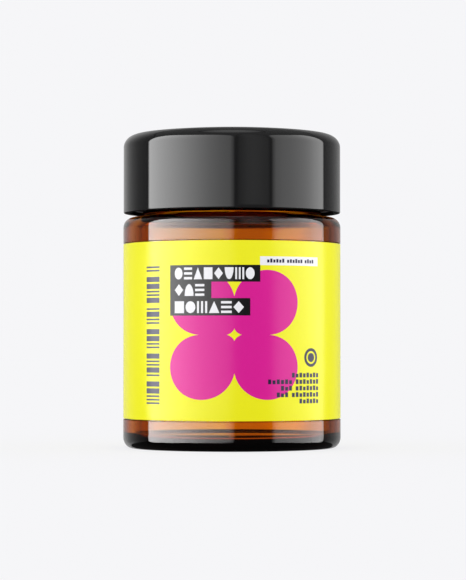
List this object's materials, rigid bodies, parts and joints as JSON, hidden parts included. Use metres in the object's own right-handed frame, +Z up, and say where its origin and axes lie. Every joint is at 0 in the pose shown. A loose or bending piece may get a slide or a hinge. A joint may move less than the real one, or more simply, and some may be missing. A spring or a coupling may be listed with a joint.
{
  "type": "cosmetic cream jar",
  "caption": "Straight-sided amber glass cream jar with a wrap label, a tall domed screw cap, a liner and a sealing disc.",
  "frame": {"origin": "centre of the ring that the jar stands on", "axes": "+Z up along the jar's axis, -Y to the label's front, the label's seam at +Y"},
  "size_m": [0.06, 0.06, 0.0878],
  "materials": {
    "amber_glass": "clear polished amber glass",
    "label_film": "satin printed film",
    "black_gloss": "high gloss",
    "black_moulded": "as moulded",
    "white_foam": "soft expanded foam",
    "natural_pe": "translucent, as moulded"
  },
  "bodies": {
    "jar": {"glass_jar": "amber_glass", "wrap_label": "label_film"},
    "liner": {"cap_liner": "white_foam"},
    "cap": {"cap_shell": "black_gloss", "cap_insert": "black_moulded"},
    "disc": {"sealing_disc": "natural_pe"}
  },
  "joints": [
    {"name": "cap_lift", "type": "slide", "parent": "jar", "child": "liner", "axis": [0, 0, 1], "range_m": [0, 0.0253]},
    {"name": "cap_turn", "type": "hinge", "parent": "liner", "child": "cap", "pos_m": [0, 0, 0.06465], "axis": [0, 0, 1], "range_deg": [0, 2160]},
    {"name": "disc_lift", "type": "slide", "parent": "jar", "child": "disc", "axis": [0, 0, 1], "range_m": [0, 0.0081]}
  ],
  "couplings": [
    {"joint": "cap_lift", "follows": "cap_turn", "m_per_rad": 0.00066845},
    {"joint": "disc_lift", "follows": "cap_turn", "m_per_rad": 0.00021221}
  ]
}
